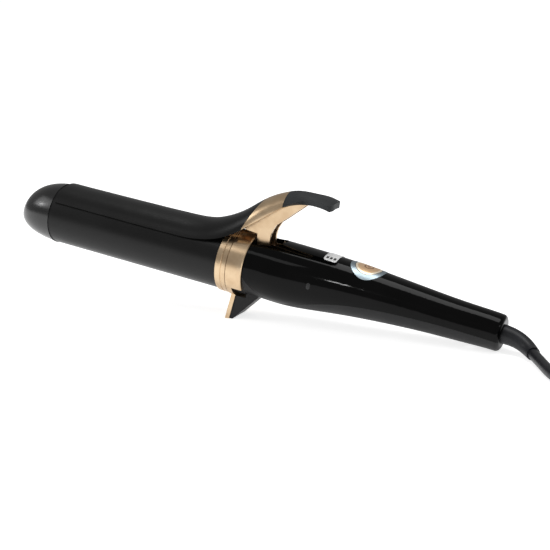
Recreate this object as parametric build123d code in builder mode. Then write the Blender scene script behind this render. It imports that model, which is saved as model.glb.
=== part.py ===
from build123d import *
import os
from math import asin, atan2, cos, degrees, hypot, pi, radians, sin, tan

# A 38 mm curling iron at rest on its stand foot, clamp closed, lead run off to the side and coiled.
#
# Two frames are used. The part's own frame has +Z up, the table at z = 0 and its origin in the middle
# of the foot's flat. The iron's frame leans in it: x runs along the barrel's axis from the collar's
# front edge (x = 0) to the tail, z is square to it and up, and y is the same as in the part's frame.
# The near side, with the pilot lamp, is -y. All sizes are in millimetres.

os.makedirs("parts", exist_ok=True)

# ---------------------------------------------------------------- driving dimensions

# Barrel and cool tip
BARREL_R = 19.0
BARREL_WALL = 1.2
TIP_SEAM = -121.0
TIP_LENGTH = 29.2
TIP_PROUD = 0.4
TIP_DROOP = 7.6
TIP_WALL = 2.2
BARREL_TAIL = 7.2
# Heights of the clamp and lever below are laid out over a barrel of this radius, and rise with it.
LAID_OUT_R = 19.0
RISE = BARREL_R - LAID_OUT_R

# Collar
COLLAR_R = BARREL_R + 1.0
BAND_R = BARREL_R + 1.5
BAND_FRONT = 7.4
COLLAR_REAR = 18.1
COLLAR_GROOVE = 4.0

# Handle: stations along the axis as (x, radius, height of the section's centre)
HANDLE_FRONT = 18.3
HANDLE = [
    (HANDLE_FRONT, BARREL_R, 0.9),
    (45.0, BARREL_R + 0.05, 0.95),
    (60.0, 18.2, 1.45),
    (75.0, 16.95, 2.0),
    (92.0, 15.5, 2.2),
    (112.0, 13.9, 2.0),
    (132.0, 12.5, 1.5),
    (152.0, 11.5, 0.9),
    (175.5, 10.7, 0.1),
]
HANDLE_WALL = 2.2
TAIL_ROUND = 2.5
TAIL_WALL = 5.0
SPIGOT_R = BARREL_R - 0.6
BUSH_R = BARREL_R - 3.0

# Line where the glossy upper shell meets the matt lower shell, as (x, z)
PARTING = [(18.0, -1.6), (23.0, -8.2), (31.0, -13.6), (40.0, -15.6), (49.0, -13.4), (58.5, -10.4),
           (70.0, -6.9), (88.0, -3.3), (112.0, -1.5), (148.0, -1.3), (177.0, -2.6)]

# Stand foot
FOOT_X = 8.7
FOOT_DROP = 34.6
FOOT_WIDTH = 18.0
FOOT_FLAT = 5.0
TAB_THICK = 2.8

# Clamp, lever and thumb rest share one arched outside, as (x, half width, crown, side edge)
ARCH_ROWS = [
    (-118.6, 16.9, 20.4, 11.4),
    (-80.0, 16.9, 20.7, 11.4),
    (-46.0, 16.9, 21.1, 11.4),
    (-30.0, 16.9, 21.5, 11.5),
    (-20.0, 16.8, 22.1, 12.0),
    (-12.0, 16.4, 23.6, 13.2),
    (-5.0, 15.9, 26.3, 15.0),
    (2.0, 15.2, 30.0, 18.0),
    (8.5, 14.4, 34.4, 21.9),
    (16.0, 13.5, 40.6, 27.9),
    (23.5, 12.2, 45.9, 34.1),
    (31.0, 10.7, 49.7, 40.2),
    (38.0, 9.7, 52.2, 45.2),
    (45.0, 9.4, 53.0, 49.0),
    (52.0, 9.1, 52.8, 51.1),
    (58.0, 9.0, 52.4, 51.0),
    (64.5, 8.8, 51.0, 49.6),
]
ARCH = [(x, half * BARREL_R / LAID_OUT_R, crown + RISE, edge + RISE) for x, half, crown, edge in ARCH_ROWS]
ARCH_STEP = 9.0
PLATE_THICK = 1.1
LEVER_THICK = 3.0
REST_THICK = 3.7
TONGUE_ROOT = 8.0
TONGUE_LENGTH = 12.0
TONGUE_HALF = 14.6
UNDERLAY_FRONT = -5.0
UNDERLAY_HALF = 8.0
REST_ROOT = 34.5
REST_SCOOP = 7.5
REST_SCOOP_HALF = 9.8
LEG_OUTER = 5.3
LEG_INNER = 3.3

# Clamp hinge and its recess in the handle's top
PIN_X = 24.0
PIN_Z = 11.5
PIN_R = 1.5
PIN_PLAY = 0.05
LEG_FOOT_R = 4.2
RECESS_FRONT = 18.9
RECESS_HALF = 11.2
RECESS_ROUND_X = 27.4
RECESS_ROUND_R = 9.5
RECESS_FLOOR = 6.0
RECESS_WALL = 1.4
EAR_GAP = 0.4
EAR_THICK = 1.2
BRACKET_THICK = 1.0

# Power button, label and pilot lamp
BUTTON_X = 90.3
BUTTON_R = 8.0
RING_R = 11.0
RING_INNER_R = 8.25
RING_THICK = 1.0
LABEL_X = (63.8, 72.0)
LABEL_HALF = 7.4
LABEL_THICK = 0.25
LAMP_X = 61.0
LAMP_Z = 2.8

# Circuit board
BOARD_X = (56.0, 106.0)
BOARD_HALF = 9.0
BOARD_Z = -2.0
BOARD_THICK = 1.6

# Case screws and shell posts
CASE_SCREWS_X = (47.0, 112.0, 158.0)
POST_R = 3.2
SCREW_R = 1.25

# Lead
CORD_R = 3.25
BOOT_ROOT_R = 5.6
BOOT_END_R = 3.9
COIL_CENTRE = (251.0, -27.5)
COIL_TURNS_ACROSS = 3
COIL_LAYERS = 3
COIL_INNER_R = 26.25
COIL_START = 217.0
COIL_END = 180.0
PLUG_LENGTH = 30.0
PLUG_SHOULDER = 6.0
PLUG_HALF_WIDTH = 12.5
PLUG_HALF_HEIGHT = 6.6
PLUG_PIN_R = 2.0
PLUG_PIN_LENGTH = 19.0
PLUG_PIN_SPACING = 19.0

CLEAR = 0.1

# ---------------------------------------------------------------- frames

# The foot's flat and the rounded rim of the tail both touch the table, which sets the lean.
tail_x, tail_r, tail_centre = HANDLE[-1]
rim_x = tail_x - TAIL_ROUND - FOOT_X
rim_z = FOOT_DROP + tail_centre - (tail_r - TAIL_ROUND)
LEAN = atan2(rim_z, rim_x) - asin(TAIL_ROUND / hypot(rim_x, rim_z))
ALONG = Vector(cos(LEAN), 0, -sin(LEAN))
UP = Vector(sin(LEAN), 0, cos(LEAN))
IRON = Plane(origin=UP * FOOT_DROP - ALONG * FOOT_X, x_dir=ALONG, z_dir=UP)
ACROSS = IRON.y_dir


def at(x, y=0.0, z=0.0):
    """A point given in the iron's frame, in the part's frame."""
    return IRON.from_local_coords(Vector(x, y, z))


def cross(x, z=0.0, y=0.0):
    """Plane square to the axis at x: its X runs across (+y), its Y up, and it faces the tail."""
    return Plane(origin=at(x, y, z), x_dir=ACROSS, z_dir=ALONG)


def side(y=0.0):
    """Plane along the axis at y: its X runs to the tail, its Y up, and it faces -y."""
    return Plane(origin=at(0, y, 0), x_dir=ALONG, z_dir=-ACROSS)


def deck(z, x=0.0, y=0.0):
    """Plane parallel to the axis at height z: its X runs to the tail, its Y across, facing up."""
    return Plane(origin=at(x, y, z), x_dir=ALONG, z_dir=UP)


AXIS = Axis(at(0), ALONG)


def save(builder, name):
    """Labels the finished piece and writes it to its own file."""
    builder.part.label = name
    export_step(builder.part, f"parts/{name}.step")


# ---------------------------------------------------------------- shared shapes

def disc(plane, radius):
    """A filled circle on a plane."""
    with BuildSketch(plane) as sketch:
        Circle(radius)
    return sketch.sketch


def box_face(plane, width, height, round_r=0.0):
    """A rectangle on a plane, with rounded corners if a radius is given."""
    with BuildSketch(plane) as sketch:
        if round_r > 0:
            RectangleRounded(width, height, round_r)
        else:
            Rectangle(width, height)
    return sketch.sketch


def outline(plane, points):
    """A filled polygon on a plane."""
    with BuildSketch(plane) as sketch:
        with BuildLine():
            Polyline(*points, close=True)
        make_face()
    return sketch.sketch


def rod(plane, radius, length, mode=Mode.ADD):
    """Adds a round bar standing on a plane to the piece in hand."""
    extrude(disc(plane, radius), amount=length, mode=mode)


def turned(points, mode=Mode.ADD):
    """Revolves a profile, given as (x, radius) points, about the barrel's axis."""
    revolve(outline(side(), points), axis=AXIS, mode=mode)


def handle_body(grow, mode=Mode.ADD):
    """Lofts the handle's outside, grown by a few tenths or shrunk by a wall."""
    loft([disc(cross(x, centre), radius + grow) for x, radius, centre in HANDLE], mode=mode)


def handle_size(x):
    """Radius and centre height of the handle at x, between its stations."""
    for (x0, r0, c0), (x1, r1, c1) in zip(HANDLE, HANDLE[1:]):
        if x <= x1:
            share = (x - x0) / (x1 - x0)
            return r0 + (r1 - r0) * share, c0 + (c1 - c0) * share


def arch_at(x):
    """Half width, crown and side edge of the arch at x, between its stations."""
    for first, second in zip(ARCH, ARCH[1:]):
        if x <= second[0]:
            share = (x - first[0]) / (second[0] - first[0])
            return [a + (b - a) * share for a, b in zip(first[1:], second[1:])]


def arch_band(station, outer, inner):
    """Cross-section between two arcs, offset from the arch's outside by outer and inner."""
    x, half, crown, edge = station
    rise = crown - edge
    radius = (half ** 2 + rise ** 2) / (2 * rise)
    centre = crown - radius
    spread = atan2(half, edge - centre)
    with BuildSketch(cross(x, centre)) as sketch:
        with BuildLine():
            ends = []
            for r in (radius + outer, radius + inner):
                side_point = (r * sin(spread), r * cos(spread))
                ThreePointArc((-side_point[0], side_point[1]), (0, r), side_point)
                ends.append(side_point)
            for sign in (-1, 1):
                Line((sign * ends[0][0], ends[0][1]), (sign * ends[1][0], ends[1][1]))
        make_face()
    return sketch.sketch


def arch_shell(outer, inner, first, last, mode=Mode.ADD):
    """Lofts the arch between two of its stations, with more sections where they stand far apart."""
    stations = [s for s in ARCH if first <= s[0] <= last]
    closer = []
    for here, after in zip(stations, stations[1:]):
        count = max(1, round((after[0] - here[0]) / ARCH_STEP))
        for step in range(count):
            x = here[0] + (after[0] - here[0]) * step / count
            closer.append((x, *arch_at(x)))
    closer.append(stations[-1])
    loft([arch_band(station, outer, inner) for station in closer], mode=mode)


def below_parting(lift):
    """Region under the parting line, moved up by lift, seen from the side."""
    with BuildSketch(side()) as sketch:
        with BuildLine():
            line = Spline(*[(x, z + lift) for x, z in PARTING])
            deep = -2 * FOOT_DROP
            Polyline(line @ 1, (PARTING[-1][0], deep), (-FOOT_DROP, deep), (-FOOT_DROP, PARTING[0][1] + lift),
                     line @ 0)
        make_face()
    return sketch.sketch


# ---------------------------------------------------------------- barrel and tip

with BuildPart() as barrel_tube:
    turned([(TIP_SEAM, BARREL_R - BARREL_WALL), (TIP_SEAM, BARREL_R), (BARREL_TAIL, BARREL_R),
            (BARREL_TAIL, BARREL_R - BARREL_WALL)])
save(barrel_tube, "barrel_tube")

# The cool tip: a blunt nose that droops, with a spigot that plugs the tube.
TIP_SHAPE = [(0.0, 1.0), (0.38, 0.9), (0.71, 0.69), (0.92, 0.385), (1.0, 0.06)]
SPIGOT_LENGTH = 7.0
with BuildPart() as tip_cap:
    tip_r = BARREL_R + TIP_PROUD
    noses = []
    for run, share in TIP_SHAPE:
        sag = TIP_DROOP * (2 * asin(run) / pi) ** 2
        noses.append(disc(cross(TIP_SEAM - run * TIP_LENGTH, -sag), tip_r * share))
    loft(noses)
    rod(cross(TIP_SEAM), BARREL_R - BARREL_WALL - CLEAR, SPIGOT_LENGTH)
    bore_r = BARREL_R - BARREL_WALL - CLEAR - TIP_WALL
    rod(cross(TIP_SEAM - 0.3 * TIP_LENGTH), bore_r, 0.3 * TIP_LENGTH + SPIGOT_LENGTH, Mode.SUBTRACT)
save(tip_cap, "tip_cap")

# Half-round heater blocks hold the ceramic heater flat between them and touch the tube all round.
CORE_FRONT = -106.0
CORE_REAR = -12.0
CORE_R = BARREL_R - BARREL_WALL - 0.05
CORE_SLOT = 4.4
HEATER_HALF = 7.0
for name, sign in (("heater_block_upper", 1), ("heater_block_lower", -1)):
    with BuildPart() as core:
        rod(cross(CORE_FRONT), CORE_R, CORE_REAR - CORE_FRONT)
        half_plane = box_face(cross(CORE_FRONT, sign * (CORE_R / 2 + CORE_SLOT / 2)), 2 * CORE_R, CORE_R)
        extrude(half_plane, amount=CORE_REAR - CORE_FRONT, mode=Mode.INTERSECT)
        for across_y in (-9.5, 9.5):
            rod(cross(CORE_FRONT, sign * 8.0, across_y), 3.2, CORE_REAR - CORE_FRONT, Mode.SUBTRACT)
    save(core, name)

# Ceramic heater: four tiles between two electrode strips, wrapped in a film sleeve.
TILE_THICK = 2.2
STRIP_THICK = 0.4
FILM_THICK = 0.3
TILES = 4
TILE_LENGTH = 20.0
TILE_GAP = 1.5
heater_front = CORE_FRONT + 4.0
heater_length = TILES * TILE_LENGTH + (TILES - 1) * TILE_GAP
with BuildPart() as ceramic_tiles:
    for i in range(TILES):
        tile = box_face(cross(heater_front + i * (TILE_LENGTH + TILE_GAP)), 2 * HEATER_HALF, TILE_THICK)
        extrude(tile, amount=TILE_LENGTH)
save(ceramic_tiles, "ceramic_heater_tiles")
for name, sign in (("electrode_upper", 1), ("electrode_lower", -1)):
    with BuildPart() as strip:
        level = sign * (TILE_THICK + STRIP_THICK) / 2
        extrude(box_face(cross(heater_front, level), 2 * HEATER_HALF - 1, STRIP_THICK), amount=heater_length + 6)
    save(strip, name)
film_inner = TILE_THICK + 2 * STRIP_THICK + 2 * CLEAR
with BuildPart() as film:
    plane = cross(heater_front - 1)
    extrude(box_face(plane, 2 * HEATER_HALF + 0.4 + 2 * FILM_THICK, film_inner + 2 * FILM_THICK),
            amount=heater_length + 2)
    extrude(box_face(plane, 2 * HEATER_HALF + 0.4, film_inner), amount=heater_length + 2, mode=Mode.SUBTRACT)
save(film, "insulating_film")

with BuildPart() as fuse:
    rod(cross(CORE_REAR + 1.0, -5.0), 2.0, 9.0)
save(fuse, "thermal_fuse")
with BuildPart() as sensor:
    rod(cross(CORE_REAR + 1.0, 6.0), 1.2, 5.0)
save(sensor, "temperature_sensor")

# Heat-proof bush: plugs the tube's tail end and is gripped by the handle's front.
BUSH_FRONT = 1.0
BUSH_STOP = 1.5
BUSH_REAR = 16.6
BUSH_BORE = 8.0
stop_x = BARREL_TAIL + CLEAR
with BuildPart() as bush:
    plug_r = BARREL_R - BARREL_WALL - CLEAR
    turned([(BUSH_FRONT, BUSH_BORE), (BUSH_FRONT, plug_r), (stop_x, plug_r), (stop_x, SPIGOT_R - CLEAR),
            (stop_x + BUSH_STOP, SPIGOT_R - CLEAR), (stop_x + BUSH_STOP, BUSH_R), (BUSH_REAR, BUSH_R),
            (BUSH_REAR, BUSH_BORE)])
save(bush, "barrel_bush")

# ---------------------------------------------------------------- collar and foot

GROOVE = 0.35
with BuildPart() as front_ring:
    turned([(0, BARREL_R + CLEAR), (0, COLLAR_R - 0.4), (0.4, COLLAR_R), (COLLAR_GROOVE - GROOVE, COLLAR_R),
            (COLLAR_GROOVE, COLLAR_R - GROOVE), (COLLAR_GROOVE + GROOVE, COLLAR_R),
            (BAND_FRONT - CLEAR, COLLAR_R + 0.15), (BAND_FRONT - CLEAR, BARREL_R + CLEAR)])
save(front_ring, "collar_front_ring")


def foot_outline(front, rear_top):
    """Side view of the stand foot between its leaning front line and its rear slope."""
    half_flat = FOOT_FLAT / 2
    flat_front = IRON.to_local_coords(Vector(-half_flat + front, 0, 0))
    flat_rear = IRON.to_local_coords(Vector(half_flat, 0, 0))
    return [(BAND_FRONT + 1.2 + front, -12.0), (BAND_FRONT + 1.2 + front, -18.0),
            (flat_front.X, flat_front.Z), (flat_rear.X, flat_rear.Z), rear_top, (rear_top[0], -12.0)]


# The band carries a tab that faces the front of the foot.
foot_root = (26.5, -16.4)
with BuildPart() as band:
    turned([(BAND_FRONT, SPIGOT_R + CLEAR), (BAND_FRONT, BAND_R - 0.5), (BAND_FRONT + 0.5, BAND_R),
            (COLLAR_REAR - 0.5, BAND_R), (COLLAR_REAR, BAND_R - 0.5), (COLLAR_REAR, SPIGOT_R + CLEAR)])
    extrude(outline(side(), foot_outline(0, foot_root)), amount=FOOT_WIDTH / 2, both=True)
    extrude(outline(side(), foot_outline(TAB_THICK, foot_root)), amount=FOOT_WIDTH, both=True,
            mode=Mode.SUBTRACT)
    rod(cross(BAND_FRONT), SPIGOT_R + CLEAR, COLLAR_REAR - BAND_FRONT, Mode.SUBTRACT)
save(band, "collar_band")

# ---------------------------------------------------------------- handle shells

spigot_front = stop_x + BUSH_STOP + CLEAR
spigot_bore = BUSH_R + CLEAR
cavity_front = 20.0


def handle_hull():
    """The whole handle with its front spigot and foot, solid, in the piece in hand."""
    handle_body(0)
    fillet(edges().sort_by(AXIS)[-1], TAIL_ROUND)
    rod(cross(spigot_front), SPIGOT_R, HANDLE_FRONT + 0.5 - spigot_front)
    extrude(outline(side(), foot_outline(TAB_THICK + CLEAR, foot_root)), amount=FOOT_WIDTH / 2 - 0.5, both=True)
    band_room = [(0, SPIGOT_R), (0, BAND_R + 0.2), (COLLAR_REAR + CLEAR, BAND_R + 0.2),
                 (COLLAR_REAR + CLEAR, SPIGOT_R)]
    turned(band_room, Mode.SUBTRACT)


def handle_cavity():
    """Cuts the room inside the handle out of the piece in hand."""
    faces = [disc(cross(min(max(x, cavity_front), tail_x - TAIL_WALL), centre), radius - HANDLE_WALL)
             for x, radius, centre in HANDLE]
    loft(faces, mode=Mode.SUBTRACT)
    rod(cross(spigot_front), spigot_bore, cavity_front - spigot_front, Mode.SUBTRACT)


def recess_face(z, grow):
    """Plan of the recess in the handle's top, grown by a wall, at height z."""
    front = RECESS_FRONT - grow
    half = RECESS_HALF + grow
    bend = RECESS_ROUND_R + grow
    with BuildSketch(deck(z)) as sketch:
        with BuildLine():
            Polyline((RECESS_ROUND_X, -bend), (front, -half), (front, half), (RECESS_ROUND_X, bend))
            ThreePointArc((RECESS_ROUND_X, bend), (RECESS_ROUND_X + bend, 0), (RECESS_ROUND_X, -bend))
        make_face()
    return sketch.sketch


# Strain relief seat in the tail: a bore through the end and a wider groove for its flange.
FLANGE_R = 7.4
FLANGE_X = (166.0, 169.0)
boot_bore = BOOT_ROOT_R + CLEAR
ring_seat_r = RING_R + CLEAR
BRACKET_SCREW_X = 31.4
BRACKET_SCREW_Y = 3.4
lamp_r = handle_size(LAMP_X)[0]
LAMP_LONG = 4.0
LAMP_WIDE = 2.4

# Walls and floor of the hinge's recess, with posts for the bracket's screws
with BuildPart(mode=Mode.PRIVATE) as well:
    extrude(recess_face(RECESS_FLOOR - RECESS_WALL, RECESS_WALL), amount=2 * BARREL_R)
    for y in (-BRACKET_SCREW_Y, BRACKET_SCREW_Y):
        rod(deck(RECESS_FLOOR - RECESS_WALL - 4.0, BRACKET_SCREW_X, y), 2.4, 5.0)
    handle_body(-0.02, Mode.INTERSECT)
# Seat for the ring round the button
with BuildPart(mode=Mode.PRIVATE) as seat:
    rod(deck(5, BUTTON_X), ring_seat_r, 2 * BARREL_R)
    handle_body(-RING_THICK, Mode.SUBTRACT)
# Posts that the case screws go through
with BuildPart(mode=Mode.PRIVATE) as posts:
    for x in CASE_SCREWS_X:
        rod(deck(-2 * BARREL_R, x), POST_R, 4 * BARREL_R)
    handle_body(-HANDLE_WALL / 2, Mode.INTERSECT)


def boot_seat():
    """Cuts the strain relief's bore and its flange's groove out of the piece in hand."""
    rod(cross(tail_x - 2.4 * TAIL_WALL, tail_centre), boot_bore, 4 * TAIL_WALL, Mode.SUBTRACT)
    rod(cross(FLANGE_X[0] - CLEAR, tail_centre), FLANGE_R + CLEAR, FLANGE_X[1] - FLANGE_X[0] + 2 * CLEAR,
        Mode.SUBTRACT)


with BuildPart() as upper:
    handle_hull()
    handle_cavity()
    add(well.part)
    extrude(recess_face(RECESS_FLOOR, 0), amount=2 * BARREL_R, mode=Mode.SUBTRACT)
    for y in (-BRACKET_SCREW_Y, BRACKET_SCREW_Y):
        rod(deck(RECESS_FLOOR - 4.5, BRACKET_SCREW_X, y), 0.9, 6.0, Mode.SUBTRACT)
    add(seat.part, mode=Mode.SUBTRACT)
    rod(deck(5, BUTTON_X), RING_INNER_R, 2 * BARREL_R, Mode.SUBTRACT)
    # Window for the pilot lamp
    window = box_face(Plane(origin=at(LAMP_X, -lamp_r / 2, LAMP_Z), x_dir=ALONG, z_dir=-ACROSS),
                      LAMP_WIDE, LAMP_LONG, LAMP_WIDE / 2 - 0.05)
    extrude(window, amount=lamp_r, mode=Mode.SUBTRACT)
    add(posts.part)
    for x in CASE_SCREWS_X:
        rod(deck(-2 * BARREL_R, x), SCREW_R, 2 * BARREL_R + 4.0, Mode.SUBTRACT)
    boot_seat()
    extrude(below_parting(CLEAR / 2), amount=3 * BARREL_R, both=True, mode=Mode.SUBTRACT)
save(upper, "handle_upper_shell")

SCREW_HEAD_R = 2.4
SCREW_HEAD_DEPTH = 3.0
with BuildPart() as lower:
    handle_hull()
    handle_cavity()
    add(posts.part)
    for x in CASE_SCREWS_X:
        radius, centre = handle_size(x)
        rod(deck(-2 * BARREL_R, x), SCREW_R + CLEAR, 4 * BARREL_R, Mode.SUBTRACT)
        rod(deck(centre - radius - 1.0, x), SCREW_HEAD_R, SCREW_HEAD_DEPTH, Mode.SUBTRACT)
    boot_seat()
    extrude(below_parting(-CLEAR / 2), amount=3 * BARREL_R, both=True, mode=Mode.INTERSECT)
save(lower, "handle_lower_shell")

# ---------------------------------------------------------------- clamp, lever and thumb rest

PLAN_HEIGHT = 80.0
LEVER_STATIONS = (UNDERLAY_FRONT, 45.0)
REST_STATIONS = (31.0, 64.5)


def tongue_plan(grow):
    """Plan of the black clamp plate: straight to the collar, then a round tongue into the lever."""
    length = TONGUE_ROOT + grow - ARCH[0][0]
    with BuildSketch(deck(0)) as sketch:
        with Locations((ARCH[0][0] + length / 2, 0)):
            Rectangle(length, 3 * BARREL_R)
        with Locations((TONGUE_ROOT, 0)):
            Ellipse(TONGUE_LENGTH + grow, TONGUE_HALF + grow)
    return sketch.sketch


def scoop_plan(grow):
    """Plan of the gold lever's own tongue, which runs into the front of the thumb rest."""
    with BuildSketch(deck(0)) as sketch:
        with Locations((REST_ROOT, 0)):
            Ellipse(REST_SCOOP + grow, REST_SCOOP_HALF + grow)
    return sketch.sketch


# Screws that hold the plate on the lever stand square to the flare's slope.
plate_screws = []
for x in (-1.0, 5.0):
    slope = atan2(arch_at(x + 1)[1] - arch_at(x - 1)[1], 2)
    normal = UP * cos(slope) - ALONG * sin(slope)
    plate_screws.append(Plane(origin=at(x, 0, arch_at(x)[1]), x_dir=ACROSS, z_dir=normal))
BURR_R = 2.3
BURR_DEPTH = 1.5
SMALL_SCREW_R = 1.2

with BuildPart() as plate:
    arch_shell(0, -PLATE_THICK, ARCH[0][0], 23.5)
    extrude(tongue_plan(0), amount=PLAN_HEIGHT, mode=Mode.INTERSECT)
    for plane in plate_screws:
        rod(plane.offset(-PLATE_THICK - BURR_DEPTH), BURR_R, BURR_DEPTH + PLATE_THICK / 2)
        rod(plane.offset(-PLATE_THICK - BURR_DEPTH), SMALL_SCREW_R + 0.02, BURR_DEPTH + PLATE_THICK / 2,
            Mode.SUBTRACT)
save(plate, "clamp_plate")

with BuildPart() as plate_room:
    arch_shell(1.0, -PLATE_THICK - CLEAR / 2, -12.0, 23.5)
    extrude(tongue_plan(CLEAR), amount=PLAN_HEIGHT, mode=Mode.INTERSECT)

# The two legs of the lever and the webs between them, seen from the side
LEG_UPPER = [
    (18.9, 22.2), (12.0, 22.6), (8.0, 23.6), (8.0, 30.8), (12.0, 34.8), (19.2, 39.8), (23.5, 43.4),
    (31.0, 47.0), (38.0, 49.4),
    (47.5, 49.4), (47.5, 46.6), (43.9, 42.8), (38.2, 37.4), (33.6, 32.9), (30.2, 29.9), (28.4, 26.2),
    (27.6, 23.0), (27.4, 19.4), (27.8, 15.0),
]
LEG_SIDE = [(PIN_X - LEG_FOOT_R, PIN_Z), *[(x, z + RISE) for x, z in LEG_UPPER], (PIN_X + LEG_FOOT_R, PIN_Z)]
FRONT_WEB = [(19.1, 24.0 + RISE), (20.6, 24.0 + RISE), (20.6, 41.0 + RISE), (19.1, 39.6 + RISE)]
REST_WEB = [(40.5, 46.8 + RISE), (47.5, 46.8 + RISE), (47.5, 48.8 + RISE), (40.5, 48.8 + RISE)]
REST_SCREW_X = 44.5

with BuildPart() as lever:
    arch_shell(0, -LEVER_THICK, *LEVER_STATIONS)
    with BuildSketch(deck(0)):
        with Locations(((TONGUE_ROOT + REST_ROOT) / 2, 0)):
            Rectangle(REST_ROOT - TONGUE_ROOT, 3 * BARREL_R)
        with Locations(((UNDERLAY_FRONT + TONGUE_ROOT) / 2, 0)):
            Rectangle(TONGUE_ROOT - UNDERLAY_FRONT, 2 * UNDERLAY_HALF)
        add(scoop_plan(0))
    extrude(amount=PLAN_HEIGHT, mode=Mode.INTERSECT)
    for y in (LEG_OUTER, -LEG_INNER):
        extrude(outline(side(y), LEG_SIDE), amount=LEG_OUTER - LEG_INNER)
        rod(Plane(origin=at(PIN_X, y, PIN_Z), x_dir=ALONG, z_dir=-ACROSS), LEG_FOOT_R, LEG_OUTER - LEG_INNER)
    for web in (FRONT_WEB, REST_WEB):
        extrude(outline(side(), web), amount=LEG_INNER, both=True)
    add(plate_room.part, mode=Mode.SUBTRACT)
    for plane in plate_screws:
        rod(plane.offset(-2 * LEVER_THICK), BURR_R + CLEAR, 2 * LEVER_THICK, Mode.SUBTRACT)
    rod(Plane(origin=at(PIN_X, 10, PIN_Z), x_dir=ALONG, z_dir=-ACROSS), PIN_R + PIN_PLAY, 20, Mode.SUBTRACT)
    rod(deck(40, REST_SCREW_X), SMALL_SCREW_R + 0.02, 9.5, Mode.SUBTRACT)
save(lever, "lever_body")

REST_END = REST_STATIONS[1]
REST_CORNER = 6.0
with BuildPart() as rest:
    arch_shell(0, -REST_THICK, *REST_STATIONS)
    with BuildSketch(deck(0)) as rest_plan:
        with Locations(((REST_ROOT + REST_END) / 2 + CLEAR / 2, 0)):
            Rectangle(REST_END - REST_ROOT - CLEAR, 2 * REST_SCOOP_HALF)
        fillet(rest_plan.vertices().group_by(Axis.X)[-1], REST_CORNER)
        add(scoop_plan(CLEAR), mode=Mode.SUBTRACT)
    extrude(amount=PLAN_HEIGHT, mode=Mode.INTERSECT)
    add(lever.part, mode=Mode.SUBTRACT)
    rod(deck(40, REST_SCREW_X), SMALL_SCREW_R + 0.02, 11.5, Mode.SUBTRACT)
save(rest, "thumb_rest")

SCREW_HEAD_THICK = 1.4
with BuildPart() as clamp_screws:
    for plane in plate_screws:
        seat_level = -LEVER_THICK - SCREW_HEAD_THICK
        rod(plane.offset(seat_level), BURR_R + 0.8, SCREW_HEAD_THICK)
        rod(plane.offset(seat_level), SMALL_SCREW_R, SCREW_HEAD_THICK + LEVER_THICK - PLATE_THICK / 2)
save(clamp_screws, "clamp_plate_screws")

with BuildPart() as rest_screw:
    web_under = REST_WEB[0][1]
    rod(deck(web_under - SCREW_HEAD_THICK, REST_SCREW_X), 2.2, SCREW_HEAD_THICK)
    rod(deck(web_under, REST_SCREW_X), SMALL_SCREW_R, 4.5)
save(rest_screw, "thumb_rest_screw")

# ---------------------------------------------------------------- hinge

ear_inner = LEG_OUTER + EAR_GAP
ear_outer = ear_inner + EAR_THICK
base_top = RECESS_FLOOR + BRACKET_THICK
BRACKET_X = (19.6, 33.4)
EAR_SIDE = [
    (BRACKET_X[0], RECESS_FLOOR), (BRACKET_X[0], 13.0), (21.5, 14.3), (26.2, 14.3), (27.2, 15.6),
    (31.6, 15.6), (32.2, 17.6), (BRACKET_X[1], 17.4), (BRACKET_X[1], RECESS_FLOOR),
]
with BuildPart() as bracket:
    with BuildSketch(deck(RECESS_FLOOR)):
        with Locations(((BRACKET_X[0] + BRACKET_X[1]) / 2, 0)):
            Rectangle(BRACKET_X[1] - BRACKET_X[0], 2 * ear_outer)
    extrude(amount=BRACKET_THICK)
    for y in (ear_outer, -ear_inner):
        extrude(outline(side(y), EAR_SIDE), amount=EAR_THICK)
    rod(Plane(origin=at(PIN_X, 10, PIN_Z), x_dir=ALONG, z_dir=-ACROSS), PIN_R + 0.02, 20, Mode.SUBTRACT)
    for y in (-BRACKET_SCREW_Y, BRACKET_SCREW_Y):
        rod(deck(RECESS_FLOOR, BRACKET_SCREW_X, y), 1.0, BRACKET_THICK, Mode.SUBTRACT)
save(bracket, "hinge_bracket")

with BuildPart() as bracket_screws:
    for y in (-BRACKET_SCREW_Y, BRACKET_SCREW_Y):
        rod(deck(base_top, BRACKET_SCREW_X, y), 1.5, 0.9)
        rod(deck(RECESS_FLOOR - 4.0, BRACKET_SCREW_X, y), 0.85, 4.0 + BRACKET_THICK)
save(bracket_screws, "hinge_bracket_screws")

PIN_HEAD_R = 2.4
PIN_HEAD = 0.8
CLIP_THICK = 0.5
pin_near = -ear_outer - 0.05
clip_y = ear_outer + 0.1
with BuildPart() as pin:
    near_plane = Plane(origin=at(PIN_X, pin_near, PIN_Z), x_dir=ALONG, z_dir=ACROSS)
    rod(near_plane.offset(-PIN_HEAD), PIN_HEAD_R, PIN_HEAD)
    rod(near_plane, PIN_R, clip_y + CLIP_THICK + 0.6 - pin_near)
    clip_plane = near_plane.offset(clip_y - pin_near)
    rod(clip_plane, PIN_R + 0.5, CLIP_THICK, Mode.SUBTRACT)
    rod(clip_plane, PIN_R - 0.4, CLIP_THICK)
save(pin, "hinge_pin")
with BuildPart() as clip:
    rod(clip_plane.offset(0.05), PIN_HEAD_R, CLIP_THICK - 0.1)
    rod(clip_plane, PIN_R - 0.35, CLIP_THICK, Mode.SUBTRACT)
save(clip, "hinge_pin_clip")

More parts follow.
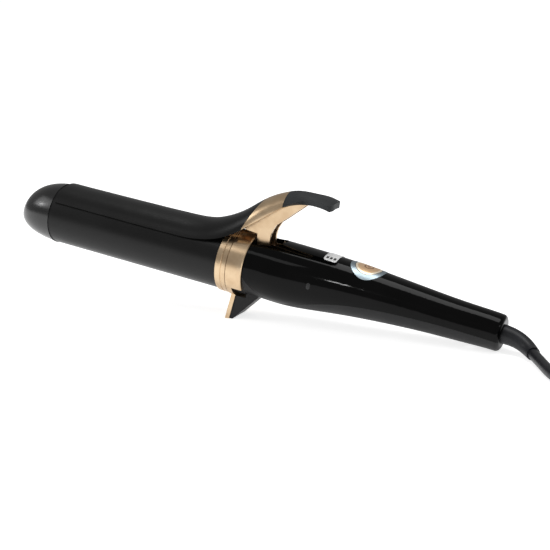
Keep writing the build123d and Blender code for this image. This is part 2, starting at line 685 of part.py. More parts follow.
# Torsion spring: its lower arm bears on the bracket, its upper arm pushes the lever's front web.
SPRING_R = 2.6
SPRING_WIRE_R = 0.45
SPRING_TURNS = 3.25
SPRING_WIDE = 3.1
spring_plane = Plane(origin=at(PIN_X, -2.2, PIN_Z), x_dir=-UP, z_dir=ACROSS)
wire = (spring_plane * Helix(SPRING_WIDE / SPRING_TURNS, SPRING_WIDE, SPRING_R)).edges()[0]
with BuildPart() as spring:
    sweep(disc(Plane(origin=wire @ 0, z_dir=wire % 0), SPRING_WIRE_R), path=wire, is_frenet=True)
    rod(Plane(origin=wire @ 0, z_dir=-(wire % 0)), SPRING_WIRE_R, 5.0)
    rod(Plane(origin=wire @ 1, z_dir=wire % 1), SPRING_WIRE_R, 14.0)
save(spring, "clamp_spring")

# ---------------------------------------------------------------- button, label and lamp

with BuildPart() as ring:
    rod(deck(5, BUTTON_X), RING_R, 2 * BARREL_R)
    rod(deck(5, BUTTON_X), RING_INNER_R, 2 * BARREL_R, Mode.SUBTRACT)
    handle_body(0.15, Mode.INTERSECT)
    handle_body(0.02 - RING_THICK, Mode.SUBTRACT)
save(ring, "button_ring")

FLANGE_UNDER = HANDLE_WALL + 1.2
SWITCH_TOP = 7.0
PLUNGER_R = 1.6
button_radius, button_centre = handle_size(BUTTON_X)
stem_foot = SWITCH_TOP + 2.5
board_top = BOARD_Z + BOARD_THICK / 2
with BuildPart(mode=Mode.PRIVATE) as flange:
    rod(deck(5, BUTTON_X), RING_INNER_R + 1.2, 2 * BARREL_R)
    handle_body(-HANDLE_WALL - 0.15, Mode.INTERSECT)
with BuildPart() as button:
    rod(deck(5, BUTTON_X), BUTTON_R, 2 * BARREL_R)
    handle_body(0.3, Mode.INTERSECT)
    add(flange.part)
    handle_body(-FLANGE_UNDER, Mode.SUBTRACT)
    rod(deck(stem_foot, BUTTON_X), 2.5, button_centre + button_radius - HANDLE_WALL - 0.5 - stem_foot)
save(button, "power_button")

with BuildPart() as plunger:
    rod(deck(SWITCH_TOP - 2.5, BUTTON_X), PLUNGER_R, stem_foot - SWITCH_TOP + 2.5)
save(plunger, "switch_plunger")
with BuildPart() as switch:
    extrude(box_face(deck(board_top, BUTTON_X), 8.0, 8.0, 0.8), amount=SWITCH_TOP - board_top)
    rod(deck(SWITCH_TOP - 4.0, BUTTON_X), PLUNGER_R + CLEAR, 4.0, Mode.SUBTRACT)
save(switch, "power_switch")

with BuildPart() as label:
    with BuildSketch(deck(5)):
        with Locations((sum(LABEL_X) / 2, 0)):
            RectangleRounded(LABEL_X[1] - LABEL_X[0], 2 * LABEL_HALF, 1.2)
    extrude(amount=2 * BARREL_R)
    handle_body(LABEL_THICK, Mode.INTERSECT)
    handle_body(0, Mode.SUBTRACT)
save(label, "rating_label")

with BuildPart() as lens:
    lens_face = box_face(Plane(origin=at(LAMP_X, -lamp_r / 2, LAMP_Z), x_dir=ALONG, z_dir=-ACROSS),
                         LAMP_WIDE - CLEAR, LAMP_LONG - CLEAR, LAMP_WIDE / 2 - CLEAR)
    extrude(lens_face, amount=lamp_r)
    handle_body(0.1, Mode.INTERSECT)
    handle_body(-HANDLE_WALL - 1.0, Mode.SUBTRACT)
save(lens, "pilot_lens")
with BuildPart() as led:
    rod(Plane(origin=at(LAMP_X, -BOARD_HALF - 0.5, LAMP_Z), x_dir=ALONG, z_dir=-ACROSS), 1.5, 3.6)
    fillet(led.edges().sort_by(Axis.Y)[0], 1.2)
save(led, "pilot_led")

# ---------------------------------------------------------------- circuit board and wiring

board_middle = sum(BOARD_X) / 2
with BuildPart() as board:
    extrude(box_face(deck(board_top - BOARD_THICK, board_middle), BOARD_X[1] - BOARD_X[0], 2 * BOARD_HALF, 1.0),
            amount=BOARD_THICK)
save(board, "circuit_board")


def chip(name, x, y, length, width, height, corner):
    """A block standing on the board."""
    with BuildPart() as block:
        extrude(box_face(deck(board_top, x, y), length, width, corner), amount=height)
    save(block, name)


chip("film_capacitor", 67.0, 0.0, 13.0, 6.0, 9.0, 1.0)
chip("power_triac", 100.5, 0.0, 4.6, 10.2, 9.0, 0.3)
chip("control_chip", 79.0, -3.0, 7.0, 5.0, 1.5, 0.3)

WIRE_R = 0.9
WIRE_BEND = 5.0


def wire_run(points):
    """Sweeps an insulated wire along straight runs joined by bends."""
    with BuildLine() as path:
        FilletPolyline(*[at(*p) for p in points], radius=WIRE_BEND)
    line = path.wire()
    sweep(disc(Plane(origin=line @ 0, z_dir=line % 0), WIRE_R), path=line)


board_wire_z = board_top + WIRE_R + 0.05
with BuildPart() as supply_wires:
    for sign in (-1, 1):
        wire_run([(FLANGE_X[0] - 0.4, sign * 2.2, 0.3), (158.0, sign * 5.4, 0.9), (118.0, sign * 5.6, 1.0),
                  (103.5, sign * 7.0, board_wire_z)])
save(supply_wires, "supply_wires")
with BuildPart() as heater_wires:
    for sign in (-1, 1):
        wire_run([(62.0, sign * 5.5, board_wire_z), (53.0, sign * 5.8, board_wire_z), (42.0, sign * 6.2, -2.2),
                  (22.0, sign * 5.5, -3.0),
                  (3.0, sign * 4.5, -1.0), (CORE_REAR + 0.6, sign * 4.5, sign * 1.3)])
save(heater_wires, "heater_wires")

with BuildPart() as case_screws:
    for x in CASE_SCREWS_X:
        radius, centre = handle_size(x)
        seat_z = centre - radius - 1.0 + SCREW_HEAD_DEPTH
        rod(deck(seat_z - 1.5, x), SCREW_HEAD_R - CLEAR, 1.5)
        rod(deck(seat_z, x), SCREW_R - 0.05, 11.5)
save(case_screws, "case_screws")

# ---------------------------------------------------------------- strain relief and lead

# The lead's two ends, as points along each: boot to coil, and coil to plug
COIL_ROUTE = [(190.0, -10.5, 4.4), (198.8, -23.8, 3.6), (205.4, -34.3, 3.3), (212.6, -42.8, 3.3),
              (219.6, -51.1, 3.3)]
PLUG_ROUTE = [(211.8, -21.1, 16.3), (211.7, -40.5, 17.6), (221.4, -57.3, 20.6), (238.2, -66.8, 23.4),
              (257.5, -66.8, 25.2), (274.3, -57.3, 26.15), (284.0, -40.5, 26.15), (284.0, -21.1, 26.15)]
exit_point = at(tail_x, 0, tail_centre)
boot_end, lead_start = [Vector(*point) for point in COIL_ROUTE[:2]]
with BuildPart() as boot:
    rod(cross(FLANGE_X[0], tail_centre), FLANGE_R, FLANGE_X[1] - FLANGE_X[0])
    rod(cross(FLANGE_X[0], tail_centre), BOOT_ROOT_R, tail_x - FLANGE_X[0])
    with BuildLine() as bend:
        Spline(exit_point, boot_end, tangents=[ALONG, (lead_start - boot_end).normalized()])
    curve = bend.edge()
    middle_r = (BOOT_ROOT_R + BOOT_END_R) / 2
    rings = [disc(Plane(origin=curve @ share, z_dir=curve % share), radius)
             for share, radius in ((0, BOOT_ROOT_R), (0.5, middle_r), (1, BOOT_END_R))]
    sweep(rings, path=curve, multisection=True)
save(boot, "strain_relief")
print("strain relief outside length", round(curve.length, 1))


def cord_tube(points, name):
    """Sweeps the lead along straight runs joined by the largest arcs that the runs allow."""
    route = [Vector(*p) for p in points]
    runs = [b - a for a, b in zip(route, route[1:])]
    radii = []
    for a, b in zip(runs, runs[1:]):
        turn = radians(a.get_angle(b))
        radii.append(0.45 * min(a.length, b.length) / tan(turn / 2))
    with BuildPart() as tube:
        with BuildLine() as path:
            FilletPolyline(*route, radius=radii)
        line = path.wire()
        sweep(disc(Plane(origin=line @ 0, z_dir=line % 0), CORD_R), path=line)
    save(tube, name)
    ratio = tube.part.volume / (pi * CORD_R ** 2 * line.length)
    print(name, "length", round(line.length, 1), "radii", [round(r) for r in radii], "volume ratio", round(ratio, 4))
    return line.length


first_length = cord_tube(COIL_ROUTE, "cord_to_coil")
last_length = cord_tube(PLUG_ROUTE, "cord_to_plug")

# The put-away length is one closed ring as large as its turns; the tie goes round it.
coil_outer_r = COIL_INNER_R + 2 * CORD_R * (COIL_TURNS_ACROSS - 1)
coil_low_r = COIL_INNER_R - CORD_R
coil_high_r = coil_outer_r + CORD_R
coil_height = 2 * CORD_R * COIL_LAYERS
coil_middle_r = (COIL_INNER_R + coil_outer_r) / 2
coil_axis = Axis((COIL_CENTRE[0], COIL_CENTRE[1], 0), (0, 0, 1))
turns = COIL_LAYERS * COIL_TURNS_ACROSS - 1 + (COIL_END - COIL_START) / 360
print("lead length", round(first_length + last_length + turns * 2 * pi * coil_middle_r), "turns", round(turns, 2))

TIE_ANGLE = 75.0
TIE_WIDE = 9.0
TIE_THICK = 0.8
tie_plane = Plane(origin=(COIL_CENTRE[0], COIL_CENTRE[1], 0), x_dir=(cos(radians(TIE_ANGLE)), sin(radians(TIE_ANGLE)), 0),
                  z_dir=(sin(radians(TIE_ANGLE)), -cos(radians(TIE_ANGLE)), 0))
tie_middle = (coil_middle_r, coil_height / 2 + TIE_THICK / 2)
with BuildPart() as tie:
    with BuildSketch(tie_plane):
        with Locations(tie_middle):
            RectangleRounded(coil_high_r - coil_low_r + 2 * TIE_THICK, coil_height + TIE_THICK, CORD_R)
            RectangleRounded(coil_high_r - coil_low_r, coil_height - TIE_THICK, CORD_R - TIE_THICK,
                             mode=Mode.SUBTRACT)
    extrude(amount=TIE_WIDE / 2, both=True)
save(tie, "cord_tie")
with BuildPart(mode=Mode.PRIVATE) as tie_slot:
    with BuildSketch(tie_plane):
        with Locations(tie_middle):
            Rectangle(coil_high_r - coil_low_r + 4 * TIE_THICK, coil_height + 4 * TIE_THICK)
            RectangleRounded(coil_high_r - coil_low_r, coil_height - TIE_THICK, CORD_R - TIE_THICK,
                             mode=Mode.SUBTRACT)
    extrude(amount=TIE_WIDE / 2 + 0.05, both=True)
with BuildPart() as cord_coil:
    section_plane = Plane(origin=(COIL_CENTRE[0], COIL_CENTRE[1], 0), x_dir=(1, 0, 0), z_dir=(0, -1, 0))
    with BuildSketch(section_plane):
        with Locations((coil_middle_r, coil_height / 2)):
            RectangleRounded(coil_high_r - coil_low_r, coil_height, CORD_R - 0.05)
    revolve(axis=coil_axis)
    add(tie_slot.part, mode=Mode.SUBTRACT)
save(cord_coil, "cord_coil")

# Two-pin plug lying flat, pins towards +y
plug_tail = Vector(*PLUG_ROUTE[-1])


def plug_plane(run, x=0.0):
    """Plane square to the plug's axis, run along it from its cord end; local X is level."""
    return Plane(origin=plug_tail + Vector(x, run, 0), x_dir=(1, 0, 0), z_dir=(0, 1, 0))


# Plug sections as (share of length, half width, half height)
PLUG_SECTIONS = [(0.0, 4.6, 4.6), (0.3, 6.0, 5.2), (0.62, 10.5, 6.3), (1.0, PLUG_HALF_WIDTH, PLUG_HALF_HEIGHT)]
SLEEVE_LENGTH = 9.0
SLEEVE_WALL = 0.5
PIN_ROOT = 12.0
plug_taper = PLUG_LENGTH - PLUG_SHOULDER
with BuildPart() as plug:
    loft([box_face(plug_plane(share * plug_taper), 2 * half, 2 * high, high * 0.8)
          for share, half, high in PLUG_SECTIONS], ruled=True)
    extrude(box_face(plug_plane(plug_taper), 2 * PLUG_HALF_WIDTH, 2 * PLUG_HALF_HEIGHT, PLUG_HALF_HEIGHT * 0.8),
            amount=PLUG_SHOULDER)
    for x in (-PLUG_PIN_SPACING / 2, PLUG_PIN_SPACING / 2):
        rod(plug_plane(PLUG_LENGTH - PIN_ROOT, x), PLUG_PIN_R - SLEEVE_WALL, PIN_ROOT, Mode.SUBTRACT)
save(plug, "plug_body")
with BuildPart() as pins:
    for x in (-PLUG_PIN_SPACING / 2, PLUG_PIN_SPACING / 2):
        rod(plug_plane(PLUG_LENGTH - PIN_ROOT, x), PLUG_PIN_R - SLEEVE_WALL, PIN_ROOT + SLEEVE_LENGTH)
        rod(plug_plane(PLUG_LENGTH + SLEEVE_LENGTH, x), PLUG_PIN_R, PLUG_PIN_LENGTH - SLEEVE_LENGTH)
    chamfer(pins.faces().sort_by(Axis.Y)[-2:].edges(), 0.6)
save(pins, "plug_pins")
with BuildPart() as sleeves:
    for x in (-PLUG_PIN_SPACING / 2, PLUG_PIN_SPACING / 2):
        rod(plug_plane(PLUG_LENGTH, x), PLUG_PIN_R, SLEEVE_LENGTH)
        rod(plug_plane(PLUG_LENGTH, x), PLUG_PIN_R - SLEEVE_WALL, SLEEVE_LENGTH, Mode.SUBTRACT)
save(sleeves, "plug_pin_sleeves")
print("lean", round(degrees(LEAN), 2), "plug pins end at", plug_plane(PLUG_LENGTH + PLUG_PIN_LENGTH).origin)
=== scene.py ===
import math
import bmesh
import bpy
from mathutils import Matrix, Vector


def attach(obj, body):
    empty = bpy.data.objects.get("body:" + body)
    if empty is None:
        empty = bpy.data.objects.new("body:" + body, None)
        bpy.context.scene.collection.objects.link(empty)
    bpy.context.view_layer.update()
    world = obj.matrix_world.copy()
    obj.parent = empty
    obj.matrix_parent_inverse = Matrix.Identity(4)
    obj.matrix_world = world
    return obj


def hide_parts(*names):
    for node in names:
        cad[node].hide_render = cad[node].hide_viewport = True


# A 38 mm curling iron on a table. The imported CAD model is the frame: it is loaded first, and every
# other piece is placed from it, in metres, with +Z up and the tail towards +X.
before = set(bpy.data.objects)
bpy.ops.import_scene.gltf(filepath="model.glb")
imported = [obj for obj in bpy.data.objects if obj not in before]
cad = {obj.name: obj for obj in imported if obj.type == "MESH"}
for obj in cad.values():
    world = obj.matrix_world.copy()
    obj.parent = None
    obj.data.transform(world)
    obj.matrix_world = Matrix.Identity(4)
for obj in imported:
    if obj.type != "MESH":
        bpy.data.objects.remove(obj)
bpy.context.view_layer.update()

# ---------------------------------------------------------------- camera
# A product shot from the tail's near side, a little above the table.

CAMERA_PLACE = (0.3495, -0.6859, 0.2316)
CAMERA_AIM = (0.02743, 0.0, 0.02852)
CAMERA_LENS = 84.7
camera_data = bpy.data.cameras.new("studio_camera")
camera_data.lens = CAMERA_LENS
camera_data.sensor_width = 36.0
camera_data.clip_start = 0.01
camera = bpy.data.objects.new("studio_camera", camera_data)
bpy.context.scene.collection.objects.link(camera)
camera.location = CAMERA_PLACE
sight = Vector(CAMERA_AIM) - camera.location
camera.rotation_euler = sight.to_track_quat("-Z", "Y").to_euler()
bpy.context.scene.camera = camera

# ---------------------------------------------------------------- lead
# A round two-core mains lead with a smooth PVC jacket, 6.5 mm thick. It leaves the strain relief,
# runs to a neat coil of eight turns in three layers, and doubles back to a moulded plug lying on it.

MM = 0.001
LEAD_R = 3.25
TO_COIL = [(190.0, -10.5, 4.4), (198.8, -23.8, 3.6), (205.4, -34.3, 3.3), (212.6, -42.8, 3.3)]
TO_PLUG = [(211.7, -40.5, 17.6), (221.4, -57.3, 20.6), (238.2, -66.8, 23.4), (257.5, -66.8, 25.2),
           (274.3, -57.3, 26.15), (284.0, -40.5, 26.15), (284.0, -21.1, 26.15)]
COIL_MIDDLE = (251.0, -27.5)
COIL_FIRST_ANGLE = 217.0
COIL_TURN_SHARE = (180.0 - COIL_FIRST_ANGLE) / 360.0
COIL_WHOLE_TURNS = 8
COIL_TURNS = COIL_WHOLE_TURNS + COIL_TURN_SHARE
TURN_POINTS = 24
# The nine places for turns in the coil's section, as (radius, height), in the order they are wound
OUTER, MIDDLE, INNER = 39.25, 32.75, 26.25
LOW, MID, HIGH = 3.3, 9.75, 16.25
PLACES = [(OUTER, LOW), (OUTER, MID), (MIDDLE, MID), (MIDDLE, LOW), (INNER, LOW), (INNER, MID), (INNER, HIGH),
          (MIDDLE, HIGH), (OUTER, HIGH)]
# When each turn moves over to its next place, as shares of the turn: the last turn makes room first
MOVES = [(0.66, 0.92), (0.57, 0.83), (0.48, 0.74), (0.39, 0.65), (0.30, 0.56), (0.30, 0.56), (0.20, 0.44),
         (0.20, 0.44)]


def coil_points():
    """Points of the coil's turns, each going round in its place and then over to the next."""
    points = []
    for step in range(round(COIL_TURNS * TURN_POINTS) + 1):
        turn, share = divmod(step / TURN_POINTS, 1.0)
        here, after = PLACES[int(turn)], PLACES[int(turn) + 1]
        start, end = MOVES[int(turn)]
        done = min(max((share - start) / (end - start), 0.0), 1.0)
        moved = (1.0 - math.cos(math.pi * done)) / 2.0
        radius = here[0] + (after[0] - here[0]) * moved
        height = here[1] + (after[1] - here[1]) * moved
        angle = math.radians(COIL_FIRST_ANGLE + 360.0 * step / TURN_POINTS)
        reach = radius / math.cos(math.pi / TURN_POINTS)
        points.append((COIL_MIDDLE[0] + reach * math.cos(angle), COIL_MIDDLE[1] + reach * math.sin(angle),
                       height))
    return points


def linear(text):
    """Turns an sRGB hex colour into the linear colour that the shaders take."""
    parts = [int(text[i:i + 2], 16) / 255.0 for i in (1, 3, 5)]
    return [c / 12.92 if c <= 0.04045 else ((c + 0.055) / 1.055) ** 2.4 for c in parts] + [1.0]


def add(material, kind, inputs, **settings):
    """Adds one node to a material: a socket gets a value, or a link where another socket is given."""
    node = material.node_tree.nodes.new("ShaderNode" + kind)
    for name, value in settings.items():
        setattr(node, name, value)
    for name, value in inputs.items():
        if isinstance(value, bpy.types.NodeSocket):
            material.node_tree.links.new(value, node.inputs[name])
        else:
            node.inputs[name].default_value = value
    return node


def new_material(name, **sockets):
    """An empty material with its shader, whose plain sockets are set; returns both and the object's place."""
    material = bpy.data.materials.new(name)
    material.use_nodes = True
    shader = material.node_tree.nodes["Principled BSDF"]
    for socket, value in sockets.items():
        shader.inputs[socket.replace("_", " ")].default_value = value
    place = add(material, "TexCoord", {}).outputs["Object"]
    return material, shader, place


# Share of the noise's range over which the dark shade turns to the light one
PATCH_FROM, PATCH_TO = 0.35, 0.65
# The gloss varies in patches three times the size of the colour's
WEAR_SHARE = 0.33


def mottled(name, dark, light, patch_mm, rough, rough_spread, grain_mm, grain_depth_mm, **sockets):
    """A moulded or coated surface: two close shades in soft patches, uneven gloss, and a fine grain."""
    material, shader, place = new_material(name, **sockets)
    link = material.node_tree.links.new
    patches = add(material, "TexNoise", {"Vector": place, "Scale": 1000.0 / patch_mm, "Detail": 4.0})
    ramp = add(material, "ValToRGB", {"Fac": patches.outputs["Fac"]})
    ramp.color_ramp.elements[0].position = PATCH_FROM
    ramp.color_ramp.elements[0].color = linear(dark)
    ramp.color_ramp.elements[1].position = PATCH_TO
    ramp.color_ramp.elements[1].color = linear(light)
    link(ramp.outputs["Color"], shader.inputs["Base Color"])
    wear = add(material, "TexNoise", {"Vector": place, "Scale": WEAR_SHARE * 1000.0 / patch_mm,
                                      "Detail": 6.0})
    gloss = add(material, "MapRange", {"Value": wear.outputs["Fac"], "From Min": 0.3, "From Max": 0.7,
                                       "To Min": rough - rough_spread, "To Max": rough + rough_spread})
    link(gloss.outputs["Result"], shader.inputs["Roughness"])
    grain = add(material, "TexNoise", {"Vector": place, "Scale": 1000.0 / grain_mm, "Detail": 2.0})
    bump = add(material, "Bump", {"Height": grain.outputs["Fac"], "Distance": grain_depth_mm * MM,
                                  "Strength": 1.0})
    link(bump.outputs["Normal"], shader.inputs["Normal"])
    return material


def finish_with(material, *names):
    """Gives CAD nodes, or pieces, a material as their only one."""
    for name in names:
        piece = cad[name] if isinstance(name, str) else name
        piece.data.materials.clear()
        piece.data.materials.append(material)


# PVC jacket: extruded, so satin, with a faint unevenness along it.
lead_jacket = mottled("lead_pvc_extruded", "#0f1013", "#17181c", 14.0, 0.42, 0.05, 1.2, 0.02, IOR=1.53,
                      Specular_IOR_Level=0.3)

lead_curve = bpy.data.curves.new("mains_lead", "CURVE")
lead_curve.dimensions = "3D"
lead_curve.bevel_depth = LEAD_R * MM
lead_curve.bevel_resolution = 5
lead_curve.resolution_u = 4
lead_curve.use_fill_caps = True
lead_line = lead_curve.splines.new("NURBS")
lead_points = TO_COIL + coil_points() + TO_PLUG
lead_line.points.add(len(lead_points) - 1)
for point, (x, y, z) in zip(lead_line.points, lead_points):
    point.co = (x * MM, y * MM, z * MM, 1.0)
lead_line.order_u = 3
lead_line.use_endpoint_u = True
lead_curve.materials.append(lead_jacket)
lead = bpy.data.objects.new("mains_lead", lead_curve)
bpy.context.scene.collection.objects.link(lead)
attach(lead, "iron")
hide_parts("cord_to_coil", "cord_coil", "cord_to_plug")

# Strain relief and plug: soft PVC moulded on the lead, so the same black with a finer grain.
moulded_pvc = mottled("moulded_pvc", "#101115", "#191a1f", 9.0, 0.45, 0.05, 0.6, 0.02, IOR=1.53,
                      Specular_IOR_Level=0.3)
finish_with(moulded_pvc, "strain_relief", "plug_body")
# The tie is a rubber strap with a dull, dusty face.
strap_rubber = mottled("strap_rubber", "#141414", "#242424", 3.0, 0.7, 0.08, 0.4, 0.05, IOR=1.52)
finish_with(strap_rubber, "cord_tie")
# Plug pins are nickel-plated brass, bright with fine drawn lines; their sleeves are black nylon.
pin_nickel = mottled("pin_nickel", "#b9b4aa", "#cfcbc2", 2.0, 0.25, 0.06, 0.3, 0.01, Metallic=1.0)
finish_with(pin_nickel, "plug_pins")
sleeve_nylon = mottled("sleeve_nylon", "#0d0d0e", "#161617", 2.0, 0.4, 0.05, 0.3, 0.01, IOR=1.53)
finish_with(sleeve_nylon, "plug_pin_sleeves")

# ---------------------------------------------------------------- barrel and clamp plate
# A drawn aluminium tube and a pressed steel plate, both with a fired ceramic coating: near-black,
# satin, with the slight pebble that a sprayed coat has.

barrel_coating = mottled("ceramic_coating_sprayed", "#080808", "#0d0d0d", 20.0, 0.34, 0.04, 0.5, 0.006,
                         IOR=1.55, Specular_IOR_Level=0.22)
finish_with(barrel_coating, "barrel_tube", "clamp_plate")

# ---------------------------------------------------------------- cool tip
# A moulded heat-proof nylon cap pushed into the barrel's end, glossier than the tube.

tip_nylon = mottled("tip_nylon_moulded", "#0c0c0c", "#141414", 12.0, 0.22, 0.04, 0.8, 0.01, IOR=1.53)
finish_with(tip_nylon, "tip_cap")

# ---------------------------------------------------------------- collar, lever and bracket
# Moulded plastic with vacuum-deposited metal under a tinted lacquer: champagne gold, satin, with a
# faint cloud in the lacquer. The bracket is folded sheet in the same finish.

champagne_gold = mottled("champagne_gold_lacquered", "#c6ab8a", "#d4bb9a", 8.0, 0.3, 0.03, 0.35, 0.004,
                         Metallic=1.0)
finish_with(champagne_gold, "collar_front_ring", "collar_band", "lever_body", "hinge_bracket")

# ---------------------------------------------------------------- thumb rest
# Nylon with a soft-touch paint: dark grey, matt, with an even fine grain.

soft_touch = mottled("soft_touch_paint", "#1c1e20", "#242628", 6.0, 0.58, 0.05, 0.25, 0.02, IOR=1.5,
                     Specular_IOR_Level=0.35)
finish_with(soft_touch, "thumb_rest")

# ---------------------------------------------------------------- handle
# Two ABS shells. The upper one is polished piano black, with faint waves from the mould; the lower
# one is spark-eroded to a fine matt grain.

piano_black = mottled("abs_piano_black", "#030303", "#060606", 30.0, 0.07, 0.02, 9.0, 0.006, IOR=1.5,
                      Specular_IOR_Level=0.12)
finish_with(piano_black, "handle_upper_shell")
eroded_black = mottled("abs_spark_eroded", "#0f0f10", "#151516", 12.0, 0.5, 0.05, 0.35, 0.03, IOR=1.54,
                       Specular_IOR_Level=0.25)
finish_with(eroded_black, "handle_lower_shell")

# ---------------------------------------------------------------- button, label and lamp
# The button is an aluminium disc, anodised peach gold, with a turned cream rim and a printed ring and
# dot: a soft glow with crisp bands. It snaps into a ring clipped in the handle.

# The handle leans on the table by this angle. Bands are (radius in mm where it starts, colour).
HANDLE_LEAN = math.radians(8.3)
BUTTON_ALONG = 81.6
BUTTON_BANDS = [(0.0, "#8d5f42"), (0.8, "#e8c49c"), (2.2, "#8d5f42"), (2.9, "#e8c49c"), (6.7, "#fff3dc")]
BUTTON_EDGE = 8.0


def on_deck(material, along):
    """Object coordinates turned level with the handle's top, measured from a point along it in mm."""
    place = material.node_tree.nodes["Texture Coordinate"].outputs["Object"]
    return add(material, "Mapping", {"Vector": place, "Rotation": (0.0, -HANDLE_LEAN, 0.0),
                                     "Location": (-along * MM, 0.0, 0.0)}).outputs["Vector"]


# The Mix node's sockets for colours, which share their names with its other sockets
MIX_MASK, MIX_UNDER, MIX_TINT, MIX_RESULT = 0, 6, 7, 2


def tint_over(material, way, mask, tint):
    """Blends a colour, or a socket, over a material's base colour where the mask is one."""
    shader = material.node_tree.nodes["Principled BSDF"]
    under = shader.inputs["Base Color"].links[0].from_socket
    mix = add(material, "Mix", {MIX_MASK: mask, MIX_UNDER: under, MIX_TINT: tint}, data_type="RGBA",
              blend_type=way)
    material.node_tree.links.new(mix.outputs[MIX_RESULT], shader.inputs["Base Color"])


button_face = mottled("anodised_peach_gold", "#f2eee9", "#ffffff", 5.0, 0.3, 0.03, 0.3, 0.004, Metallic=0.6)
button_place = on_deck(button_face, BUTTON_ALONG)
flat_place = add(button_face, "VectorMath", {0: button_place, 1: (1.0, 1.0, 0.0)}, operation="MULTIPLY")
from_middle = add(button_face, "VectorMath", {0: flat_place.outputs[0]}, operation="LENGTH")
share_out = add(button_face, "Math", {0: from_middle.outputs["Value"], 1: BUTTON_EDGE * MM},
                operation="DIVIDE")
bands = add(button_face, "ValToRGB", {"Fac": share_out.outputs[0]})
bands.color_ramp.interpolation = "CONSTANT"
for number, (radius, colour) in enumerate(BUTTON_BANDS):
    if number < 2:
        stop = bands.color_ramp.elements[number]
        stop.position = radius / BUTTON_EDGE
    else:
        stop = bands.color_ramp.elements.new(radius / BUTTON_EDGE)
    stop.color = linear(colour)
tint_over(button_face, "MULTIPLY", 1.0, bands.outputs["Color"])
finish_with(button_face, "power_button")
# The ring is nickel-plated and satin, so it shows a cool grey.
ring_metal = mottled("ring_nickel_satin", "#8f9da4", "#9eabb2", 5.0, 0.34, 0.03, 0.3, 0.004, Metallic=1.0)
finish_with(ring_metal, "button_ring")
# The label is white polyester film with three plain printed oblongs, and no lettering.
LABEL_MARKS_ALONG = (57.0, 59.3, 61.6)
LABEL_MARK_ACROSS = -4.9
LABEL_MARK_HALF = (0.75, 1.1)
label_film = mottled("label_film_white", "#f0f1f1", "#fafafa", 4.0, 0.35, 0.04, 0.3, 0.004, IOR=1.5)
label_place = on_deck(label_film, 0.0)
label_axes = add(label_film, "SeparateXYZ", {"Vector": label_place})
in_row = add(label_film, "Math", {0: label_axes.outputs["Y"], 1: LABEL_MARK_ACROSS * MM,
                                  2: LABEL_MARK_HALF[1] * MM}, operation="COMPARE")
for mark_along in LABEL_MARKS_ALONG:
    in_mark = add(label_film, "Math", {0: label_axes.outputs["X"], 1: mark_along * MM,
                                       2: LABEL_MARK_HALF[0] * MM}, operation="COMPARE")
    printed = add(label_film, "Math", {0: in_mark.outputs[0], 1: in_row.outputs[0]}, operation="MULTIPLY")
    tint_over(label_film, "MIX", printed.outputs[0], linear("#3c3c3c"))
finish_with(label_film, "rating_label")
# The lamp's window is smoked and unlit, so it hardly shows against the handle.
lamp_lens = mottled("lamp_lens_smoked", "#1c1c1d", "#242425", 2.0, 0.2, 0.03, 0.5, 0.01, IOR=1.5,
                   Specular_IOR_Level=0.3)
finish_with(lamp_lens, "pilot_lens", "pilot_led")

# ---------------------------------------------------------------- inside and fixings
# What holds the iron together and what heats it. Nearly all of it is hidden, and each piece has the
# finish of its own maker's process.

# Zinc-plated steel: bright, slightly cloudy.
bright_steel = mottled("zinc_plated_steel", "#a5a6a8", "#bdbec0", 3.0, 0.3, 0.06, 0.4, 0.01, Metallic=1.0)
finish_with(bright_steel, "hinge_pin", "hinge_pin_clip", "hinge_bracket_screws", "clamp_plate_screws",
            "thumb_rest_screw", "case_screws", "clamp_spring")
# Extruded aluminium: pale and dull, with a soft grain.
extruded_aluminium = mottled("aluminium_extruded", "#b4b5b7", "#c6c7c9", 5.0, 0.4, 0.06, 0.5, 0.02,
                             Metallic=1.0)
finish_with(extruded_aluminium, "heater_block_upper", "heater_block_lower")
# Fired alumina: cream white and chalky.
fired_ceramic = mottled("alumina_fired", "#e4dfd3", "#efebe2", 3.0, 0.5, 0.06, 0.3, 0.02, IOR=1.76)
finish_with(fired_ceramic, "ceramic_heater_tiles")
# Stamped brass: yellow, with uneven gloss from the die.
stamped_brass = mottled("brass_stamped", "#b08d45", "#c7a35a", 3.0, 0.35, 0.05, 0.4, 0.01, Metallic=1.0)
finish_with(stamped_brass, "electrode_upper", "electrode_lower")
# Polyimide film: clear amber brown, smooth.
amber_film = mottled("polyimide_film", "#a8651d", "#bb7526", 4.0, 0.3, 0.05, 0.6, 0.01, IOR=1.7)
finish_with(amber_film, "insulating_film")
# Moulded resin on electrical parts: black, with a fine dull grain.
black_resin = mottled("moulded_black_resin", "#121213", "#1b1b1c", 2.0, 0.5, 0.05, 0.2, 0.02, IOR=1.55)
finish_with(black_resin, "thermal_fuse", "temperature_sensor", "power_triac", "control_chip", "power_switch",
            "switch_plunger")
# Glass-filled nylon: off-white, with a dry grain.
filled_nylon = mottled("glass_filled_nylon", "#cfc7b6", "#ddd6c7", 5.0, 0.55, 0.05, 0.4, 0.03, IOR=1.53)
finish_with(filled_nylon, "barrel_bush")
# Glass-epoxy board under solder resist: dark green, fairly glossy.
board_laminate = mottled("glass_epoxy_laminate", "#0f4a2b", "#155a36", 3.0, 0.35, 0.05, 0.4, 0.01, IOR=1.55)
finish_with(board_laminate, "circuit_board")
# Epoxy-dipped film capacitor: yellow, with a lumpy gloss.
dipped_film = mottled("dipped_epoxy_yellow", "#c79a22", "#d8ac33", 3.0, 0.3, 0.05, 0.8, 0.02, IOR=1.55)
finish_with(dipped_film, "film_capacitor")
# Silicone sleeving: pale grey and dull.
wire_sleeve = mottled("silicone_sleeve", "#bdbab2", "#cfccc5", 3.0, 0.55, 0.05, 0.4, 0.02, IOR=1.43)
finish_with(wire_sleeve, "supply_wires", "heater_wires")

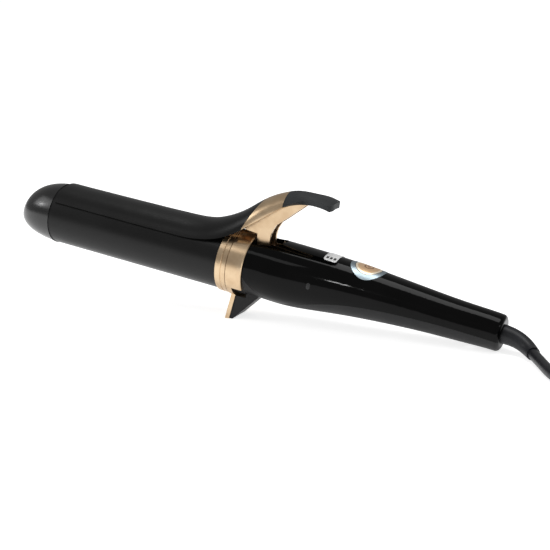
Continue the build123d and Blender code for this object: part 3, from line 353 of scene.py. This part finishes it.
# ---------------------------------------------------------------- table and light
# A plain white table top under a dim white sky. It gives off light itself, so it stays white to its edge.

FLOOR_HALF = 6.0
SKY_STRENGTH = 0.35
floor_mesh = bpy.data.meshes.new("studio_floor")
sheet = bmesh.new()
bmesh.ops.create_grid(sheet, x_segments=1, y_segments=1, size=FLOOR_HALF)
sheet.to_mesh(floor_mesh)
sheet.free()
floor = bpy.data.objects.new("studio_floor", floor_mesh)
bpy.context.scene.collection.objects.link(floor)
floor_paint = mottled("floor_white_paper", "#e8e8e8", "#ececec", 200.0, 0.9, 0.02, 2.0, 0.01,
                      Specular_IOR_Level=0.1, Emission_Color=(1.0, 1.0, 1.0, 1.0), Emission_Strength=0.75)
finish_with(floor_paint, floor)

world = bpy.data.worlds.new("studio")
world.use_nodes = True
world.node_tree.nodes["Background"].inputs["Color"].default_value = (1.0, 1.0, 1.0, 1.0)
world.node_tree.nodes["Background"].inputs["Strength"].default_value = SKY_STRENGTH
bpy.context.scene.world = world


def soft_box(name, position, target, width, height, power):
    """A rectangular studio light, aimed at a point."""
    data = bpy.data.lights.new(name, "AREA")
    data.shape = "RECTANGLE"
    data.size = width
    data.size_y = height
    data.energy = power
    lamp = bpy.data.objects.new(name, data)
    bpy.context.scene.collection.objects.link(lamp)
    lamp.location = position
    lamp.rotation_euler = (Vector(target) - Vector(position)).to_track_quat("-Z", "Y").to_euler()


# One large box lights everything. The small ones are each aimed at one part: the tip's side and its
# bright spot, the collar, the upper shell's glint, and the tail's end, where little of it shows.
soft_box("overhead_box", (0.1, 0.1, 1.2), (0.05, 0.0, 0.03), 0.9, 0.5, 6.0)
soft_box("tip_side_box", (-0.75, -0.33, 0.48), (-0.1, -0.016, 0.062), 0.42, 0.36, 0.9)
soft_box("tip_spot", (-0.759, -0.366, 0.412), (-0.13, -0.016, 0.062), 0.08, 0.08, 0.4)
soft_box("collar_box", (-0.244, -0.478, 0.775), (0.012, -0.016, 0.046), 0.3, 0.15, 0.25)
soft_box("handle_glint", (-0.033, -0.89, 0.49), (0.0793, -0.0152, 0.0315), 0.034, 0.05, 0.28)
soft_box("tail_box", (0.772, -0.257, 0.482), (0.17, -0.008, 0.017), 0.1, 0.1, 0.45)
bpy.context.scene.view_settings.view_transform = "Standard"
